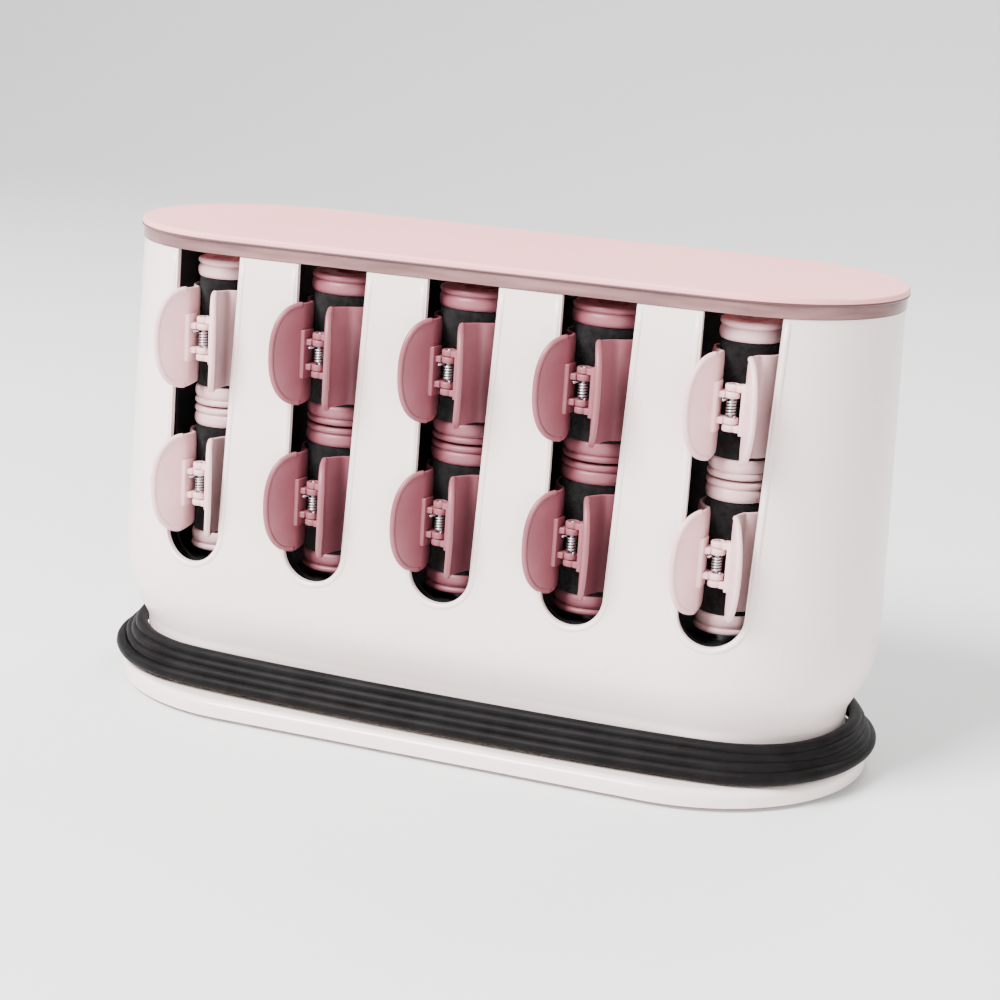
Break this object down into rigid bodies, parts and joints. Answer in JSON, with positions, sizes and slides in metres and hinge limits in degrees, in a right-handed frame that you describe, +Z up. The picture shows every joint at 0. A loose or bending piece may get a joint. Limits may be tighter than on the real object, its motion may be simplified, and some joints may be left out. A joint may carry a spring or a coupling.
{
  "type": "heated roller set",
  "caption": "Heated hair roller set: stadium tower with open slots, clip-on velvet rollers on heated posts, lift-off lid and a cord wound round the waist.",
  "frame": {"origin": "middle of the standing surface, under the centre of the base", "axes": "+X along the row of rollers to the right, -Y the front row, +Z up"},
  "size_m": [0.344, 0.2382, 0.203],
  "materials": {
    "pearl": "glossy pearl cream moulding",
    "blush_lid": "satin light pink moulding",
    "smoky_rim": "translucent mauve rim",
    "blush_roller": "light pink moulding with black flock",
    "rose_roller": "dusty rose moulding with black flock",
    "black_plastic": "fine textured black",
    "cord_pvc": "soft black PVC",
    "foot_rubber": "matt",
    "aluminium": "turned",
    "steel": "zinc plated",
    "lamp": "red translucent lens"
  },
  "bodies": {
    "root": {"front_shell": "pearl", "rear_shell": "pearl", "inner_liner": "black_plastic", "heating_posts": "aluminium", "heater_plate": "aluminium", "heating_elements": "steel", "thermostat_and_fuse": "black_plastic", "terminal_block": "black_plastic", "base_plate": "pearl", "rubber_feet": "foot_rubber", "base_screws": "steel", "switch_bezel": "black_plastic", "indicator_lens": "lamp", "strain_relief": "cord_pvc", "cord_winding": "cord_pvc", "cord_tail": "cord_pvc", "mains_plug": "cord_pvc"},
    "lid": {"lid_plate": "blush_lid", "lid_rim": "smoky_rim"},
    "rocker": {"switch_rocker": "black_plastic"},
    "roller_front_1_upper_body": {"roller_front_1_upper": "blush_roller"},
    "clip_jaw_front_1_upper_body": {"clip_jaw_front_1_upper": "blush_roller"},
    "roller_front_1_lower_body": {"roller_front_1_lower": "blush_roller"},
    "clip_jaw_front_1_lower_body": {"clip_jaw_front_1_lower": "blush_roller"},
    "roller_rear_1_upper_body": {"roller_rear_1_upper": "blush_roller"},
    "clip_jaw_rear_1_upper_body": {"clip_jaw_rear_1_upper": "blush_roller"},
    "roller_rear_1_lower_body": {"roller_rear_1_lower": "blush_roller"},
    "clip_jaw_rear_1_lower_body": {"clip_jaw_rear_1_lower": "blush_roller"},
    "roller_front_2_upper_body": {"roller_front_2_upper": "rose_roller"},
    "clip_jaw_front_2_upper_body": {"clip_jaw_front_2_upper": "rose_roller"},
    "roller_front_2_lower_body": {"roller_front_2_lower": "rose_roller"},
    "clip_jaw_front_2_lower_body": {"clip_jaw_front_2_lower": "rose_roller"},
    "roller_rear_2_upper_body": {"roller_rear_2_upper": "rose_roller"},
    "clip_jaw_rear_2_upper_body": {"clip_jaw_rear_2_upper": "rose_roller"},
    "roller_rear_2_lower_body": {"roller_rear_2_lower": "rose_roller"},
    "clip_jaw_rear_2_lower_body": {"clip_jaw_rear_2_lower": "rose_roller"},
    "roller_front_3_upper_body": {"roller_front_3_upper": "rose_roller"},
    "clip_jaw_front_3_upper_body": {"clip_jaw_front_3_upper": "rose_roller"},
    "roller_front_3_lower_body": {"roller_front_3_lower": "rose_roller"},
    "clip_jaw_front_3_lower_body": {"clip_jaw_front_3_lower": "rose_roller"},
    "roller_rear_3_upper_body": {"roller_rear_3_upper": "rose_roller"},
    "clip_jaw_rear_3_upper_body": {"clip_jaw_rear_3_upper": "rose_roller"},
    "roller_rear_3_lower_body": {"roller_rear_3_lower": "rose_roller"},
    "clip_jaw_rear_3_lower_body": {"clip_jaw_rear_3_lower": "rose_roller"},
    "roller_front_4_upper_body": {"roller_front_4_upper": "rose_roller"},
    "clip_jaw_front_4_upper_body": {"clip_jaw_front_4_upper": "rose_roller"},
    "roller_front_4_lower_body": {"roller_front_4_lower": "rose_roller"},
    "clip_jaw_front_4_lower_body": {"clip_jaw_front_4_lower": "rose_roller"},
    "roller_rear_4_upper_body": {"roller_rear_4_upper": "rose_roller"},
    "clip_jaw_rear_4_upper_body": {"clip_jaw_rear_4_upper": "rose_roller"},
    "roller_rear_4_lower_body": {"roller_rear_4_lower": "rose_roller"},
    "clip_jaw_rear_4_lower_body": {"clip_jaw_rear_4_lower": "rose_roller"},
    "roller_front_5_upper_body": {"roller_front_5_upper": "blush_roller"},
    "clip_jaw_front_5_upper_body": {"clip_jaw_front_5_upper": "blush_roller"},
    "roller_front_5_lower_body": {"roller_front_5_lower": "blush_roller"},
    "clip_jaw_front_5_lower_body": {"clip_jaw_front_5_lower": "blush_roller"},
    "roller_rear_5_upper_body": {"roller_rear_5_upper": "blush_roller"},
    "clip_jaw_rear_5_upper_body": {"clip_jaw_rear_5_upper": "blush_roller"},
    "roller_rear_5_lower_body": {"roller_rear_5_lower": "blush_roller"},
    "clip_jaw_rear_5_lower_body": {"clip_jaw_rear_5_lower": "blush_roller"}
  },
  "joints": [
    {"name": "lid_lift", "type": "slide", "parent": "root", "child": "lid", "axis": [0, 0, 1], "range_m": [0, 0.3]},
    {"name": "rocker_tilt", "type": "hinge", "parent": "root", "child": "rocker", "pos_m": [-0.167, 0, 0.098], "axis": [0, 1, 0], "range_deg": [-6, 6]},
    {"name": "lift_front_1_upper", "type": "slide", "parent": "root", "child": "roller_front_1_upper_body", "axis": [0, 0, 1], "range_m": [0, 0.212]},
    {"name": "open_front_1_upper", "type": "hinge", "parent": "roller_front_1_upper_body", "child": "clip_jaw_front_1_upper_body", "pos_m": [-0.11329, -0.05545, 0.159], "axis": [0, 0, -1], "range_deg": [0, 10], "stiffness_Nm_per_rad": 0.05, "springref_deg": -11.46},
    {"name": "lift_front_1_lower", "type": "slide", "parent": "root", "child": "roller_front_1_lower_body", "axis": [0, 0, 1], "range_m": [0, 0.137]},
    {"name": "open_front_1_lower", "type": "hinge", "parent": "roller_front_1_lower_body", "child": "clip_jaw_front_1_lower_body", "pos_m": [-0.11329, -0.05545, 0.097], "axis": [0, 0, -1], "range_deg": [0, 10], "stiffness_Nm_per_rad": 0.05, "springref_deg": -11.46},
    {"name": "lift_rear_1_upper", "type": "slide", "parent": "root", "child": "roller_rear_1_upper_body", "axis": [0, 0, 1], "range_m": [0, 0.212]},
    {"name": "open_rear_1_upper", "type": "hinge", "parent": "roller_rear_1_upper_body", "child": "clip_jaw_rear_1_upper_body", "pos_m": [-0.11071, 0.05545, 0.159], "axis": [0, 0, -1], "range_deg": [0, 10], "stiffness_Nm_per_rad": 0.05, "springref_deg": -11.46},
    {"name": "lift_rear_1_lower", "type": "slide", "parent": "root", "child": "roller_rear_1_lower_body", "axis": [0, 0, 1], "range_m": [0, 0.137]},
    {"name": "open_rear_1_lower", "type": "hinge", "parent": "roller_rear_1_lower_body", "child": "clip_jaw_rear_1_lower_body", "pos_m": [-0.11071, 0.05545, 0.097], "axis": [0, 0, -1], "range_deg": [0, 10], "stiffness_Nm_per_rad": 0.05, "springref_deg": -11.46},
    {"name": "lift_front_2_upper", "type": "slide", "parent": "root", "child": "roller_front_2_upper_body", "axis": [0, 0, 1], "range_m": [0, 0.212]},
    {"name": "open_front_2_upper", "type": "hinge", "parent": "roller_front_2_upper_body", "child": "clip_jaw_front_2_upper_body", "pos_m": [-0.05944, -0.05873, 0.159], "axis": [0, 0, -1], "range_deg": [0, 10], "stiffness_Nm_per_rad": 0.05, "springref_deg": -11.46},
    {"name": "lift_front_2_lower", "type": "slide", "parent": "root", "child": "roller_front_2_lower_body", "axis": [0, 0, 1], "range_m": [0, 0.137]},
    {"name": "open_front_2_lower", "type": "hinge", "parent": "roller_front_2_lower_body", "child": "clip_jaw_front_2_lower_body", "pos_m": [-0.05944, -0.05873, 0.097], "axis": [0, 0, -1], "range_deg": [0, 10], "stiffness_Nm_per_rad": 0.05, "springref_deg": -11.46},
    {"name": "lift_rear_2_upper", "type": "slide", "parent": "root", "child": "roller_rear_2_upper_body", "axis": [0, 0, 1], "range_m": [0, 0.212]},
    {"name": "open_rear_2_upper", "type": "hinge", "parent": "roller_rear_2_upper_body", "child": "clip_jaw_rear_2_upper_body", "pos_m": [-0.05256, 0.05873, 0.159], "axis": [0, 0, -1], "range_deg": [0, 10], "stiffness_Nm_per_rad": 0.05, "springref_deg": -11.46},
    {"name": "lift_rear_2_lower", "type": "slide", "parent": "root", "child": "roller_rear_2_lower_body", "axis": [0, 0, 1], "range_m": [0, 0.137]},
    {"name": "open_rear_2_lower", "type": "hinge", "parent": "roller_rear_2_lower_body", "child": "clip_jaw_rear_2_lower_body", "pos_m": [-0.05256, 0.05873, 0.097], "axis": [0, 0, -1], "range_deg": [0, 10], "stiffness_Nm_per_rad": 0.05, "springref_deg": -11.46},
    {"name": "lift_front_3_upper", "type": "slide", "parent": "root", "child": "roller_front_3_upper_body", "axis": [0, 0, 1], "range_m": [0, 0.212]},
    {"name": "open_front_3_upper", "type": "hinge", "parent": "roller_front_3_upper_body", "child": "clip_jaw_front_3_upper_body", "pos_m": [-0.00344, -0.05873, 0.159], "axis": [0, 0, -1], "range_deg": [0, 10], "stiffness_Nm_per_rad": 0.05, "springref_deg": -11.46},
    {"name": "lift_front_3_lower", "type": "slide", "parent": "root", "child": "roller_front_3_lower_body", "axis": [0, 0, 1], "range_m": [0, 0.137]},
    {"name": "open_front_3_lower", "type": "hinge", "parent": "roller_front_3_lower_body", "child": "clip_jaw_front_3_lower_body", "pos_m": [-0.00344, -0.05873, 0.097], "axis": [0, 0, -1], "range_deg": [0, 10], "stiffness_Nm_per_rad": 0.05, "springref_deg": -11.46},
    {"name": "lift_rear_3_upper", "type": "slide", "parent": "root", "child": "roller_rear_3_upper_body", "axis": [0, 0, 1], "range_m": [0, 0.212]},
    {"name": "open_rear_3_upper", "type": "hinge", "parent": "roller_rear_3_upper_body", "child": "clip_jaw_rear_3_upper_body", "pos_m": [0.00344, 0.05873, 0.159], "axis": [0, 0, -1], "range_deg": [0, 10], "stiffness_Nm_per_rad": 0.05, "springref_deg": -11.46},
    {"name": "lift_rear_3_lower", "type": "slide", "parent": "root", "child": "roller_rear_3_lower_body", "axis": [0, 0, 1], "range_m": [0, 0.137]},
    {"name": "open_rear_3_lower", "type": "hinge", "parent": "roller_rear_3_lower_body", "child": "clip_jaw_rear_3_lower_body", "pos_m": [0.00344, 0.05873, 0.097], "axis": [0, 0, -1], "range_deg": [0, 10], "stiffness_Nm_per_rad": 0.05, "springref_deg": -11.46},
    {"name": "lift_front_4_upper", "type": "slide", "parent": "root", "child": "roller_front_4_upper_body", "axis": [0, 0, 1], "range_m": [0, 0.212]},
    {"name": "open_front_4_upper", "type": "hinge", "parent": "roller_front_4_upper_body", "child": "clip_jaw_front_4_upper_body", "pos_m": [0.05256, -0.05873, 0.159], "axis": [0, 0, -1], "range_deg": [0, 10], "stiffness_Nm_per_rad": 0.05, "springref_deg": -11.46},
    {"name": "lift_front_4_lower", "type": "slide", "parent": "root", "child": "roller_front_4_lower_body", "axis": [0, 0, 1], "range_m": [0, 0.137]},
    {"name": "open_front_4_lower", "type": "hinge", "parent": "roller_front_4_lower_body", "child": "clip_jaw_front_4_lower_body", "pos_m": [0.05256, -0.05873, 0.097], "axis": [0, 0, -1], "range_deg": [0, 10], "stiffness_Nm_per_rad": 0.05, "springref_deg": -11.46},
    {"name": "lift_rear_4_upper", "type": "slide", "parent": "root", "child": "roller_rear_4_upper_body", "axis": [0, 0, 1], "range_m": [0, 0.212]},
    {"name": "open_rear_4_upper", "type": "hinge", "parent": "roller_rear_4_upper_body", "child": "clip_jaw_rear_4_upper_body", "pos_m": [0.05944, 0.05873, 0.159], "axis": [0, 0, -1], "range_deg": [0, 10], "stiffness_Nm_per_rad": 0.05, "springref_deg": -11.46},
    {"name": "lift_rear_4_lower", "type": "slide", "parent": "root", "child": "roller_rear_4_lower_body", "axis": [0, 0, 1], "range_m": [0, 0.137]},
    {"name": "open_rear_4_lower", "type": "hinge", "parent": "roller_rear_4_lower_body", "child": "clip_jaw_rear_4_lower_body", "pos_m": [0.05944, 0.05873, 0.097], "axis": [0, 0, -1], "range_deg": [0, 10], "stiffness_Nm_per_rad": 0.05, "springref_deg": -11.46},
    {"name": "lift_front_5_upper", "type": "slide", "parent": "root", "child": "roller_front_5_upper_body", "axis": [0, 0, 1], "range_m": [0, 0.212]},
    {"name": "open_front_5_upper", "type": "hinge", "parent": "roller_front_5_upper_body", "child": "clip_jaw_front_5_upper_body", "pos_m": [0.11071, -0.05545, 0.159], "axis": [0, 0, -1], "range_deg": [0, 10], "stiffness_Nm_per_rad": 0.05, "springref_deg": -11.46},
    {"name": "lift_front_5_lower", "type": "slide", "parent": "root", "child": "roller_front_5_lower_body", "axis": [0, 0, 1], "range_m": [0, 0.137]},
    {"name": "open_front_5_lower", "type": "hinge", "parent": "roller_front_5_lower_body", "child": "clip_jaw_front_5_lower_body", "pos_m": [0.11071, -0.05545, 0.097], "axis": [0, 0, -1], "range_deg": [0, 10], "stiffness_Nm_per_rad": 0.05, "springref_deg": -11.46},
    {"name": "lift_rear_5_upper", "type": "slide", "parent": "root", "child": "roller_rear_5_upper_body", "axis": [0, 0, 1], "range_m": [0, 0.212]},
    {"name": "open_rear_5_upper", "type": "hinge", "parent": "roller_rear_5_upper_body", "child": "clip_jaw_rear_5_upper_body", "pos_m": [0.11329, 0.05545, 0.159], "axis": [0, 0, -1], "range_deg": [0, 10], "stiffness_Nm_per_rad": 0.05, "springref_deg": -11.46},
    {"name": "lift_rear_5_lower", "type": "slide", "parent": "root", "child": "roller_rear_5_lower_body", "axis": [0, 0, 1], "range_m": [0, 0.137]},
    {"name": "open_rear_5_lower", "type": "hinge", "parent": "roller_rear_5_lower_body", "child": "clip_jaw_rear_5_lower_body", "pos_m": [0.11329, 0.05545, 0.097], "axis": [0, 0, -1], "range_deg": [0, 10], "stiffness_Nm_per_rad": 0.05, "springref_deg": -11.46}
  ],
  "couplings": [
    {"joint": "lift_front_1_upper", "follows": "lid_lift", "ratio": 0.7},
    {"joint": "lift_front_1_lower", "follows": "lid_lift", "ratio": 0.45},
    {"joint": "lift_rear_1_upper", "follows": "lid_lift", "ratio": 0.7},
    {"joint": "lift_rear_1_lower", "follows": "lid_lift", "ratio": 0.45},
    {"joint": "lift_front_2_upper", "follows": "lid_lift", "ratio": 0.7},
    {"joint": "lift_front_2_lower", "follows": "lid_lift", "ratio": 0.45},
    {"joint": "lift_rear_2_upper", "follows": "lid_lift", "ratio": 0.7},
    {"joint": "lift_rear_2_lower", "follows": "lid_lift", "ratio": 0.45},
    {"joint": "lift_front_3_upper", "follows": "lid_lift", "ratio": 0.7},
    {"joint": "lift_front_3_lower", "follows": "lid_lift", "ratio": 0.45},
    {"joint": "lift_rear_3_upper", "follows": "lid_lift", "ratio": 0.7},
    {"joint": "lift_rear_3_lower", "follows": "lid_lift", "ratio": 0.45},
    {"joint": "lift_front_4_upper", "follows": "lid_lift", "ratio": 0.7},
    {"joint": "lift_front_4_lower", "follows": "lid_lift", "ratio": 0.45},
    {"joint": "lift_rear_4_upper", "follows": "lid_lift", "ratio": 0.7},
    {"joint": "lift_rear_4_lower", "follows": "lid_lift", "ratio": 0.45},
    {"joint": "lift_front_5_upper", "follows": "lid_lift", "ratio": 0.7},
    {"joint": "lift_front_5_lower", "follows": "lid_lift", "ratio": 0.45},
    {"joint": "lift_rear_5_upper", "follows": "lid_lift", "ratio": 0.7},
    {"joint": "lift_rear_5_lower", "follows": "lid_lift", "ratio": 0.45}
  ]
}
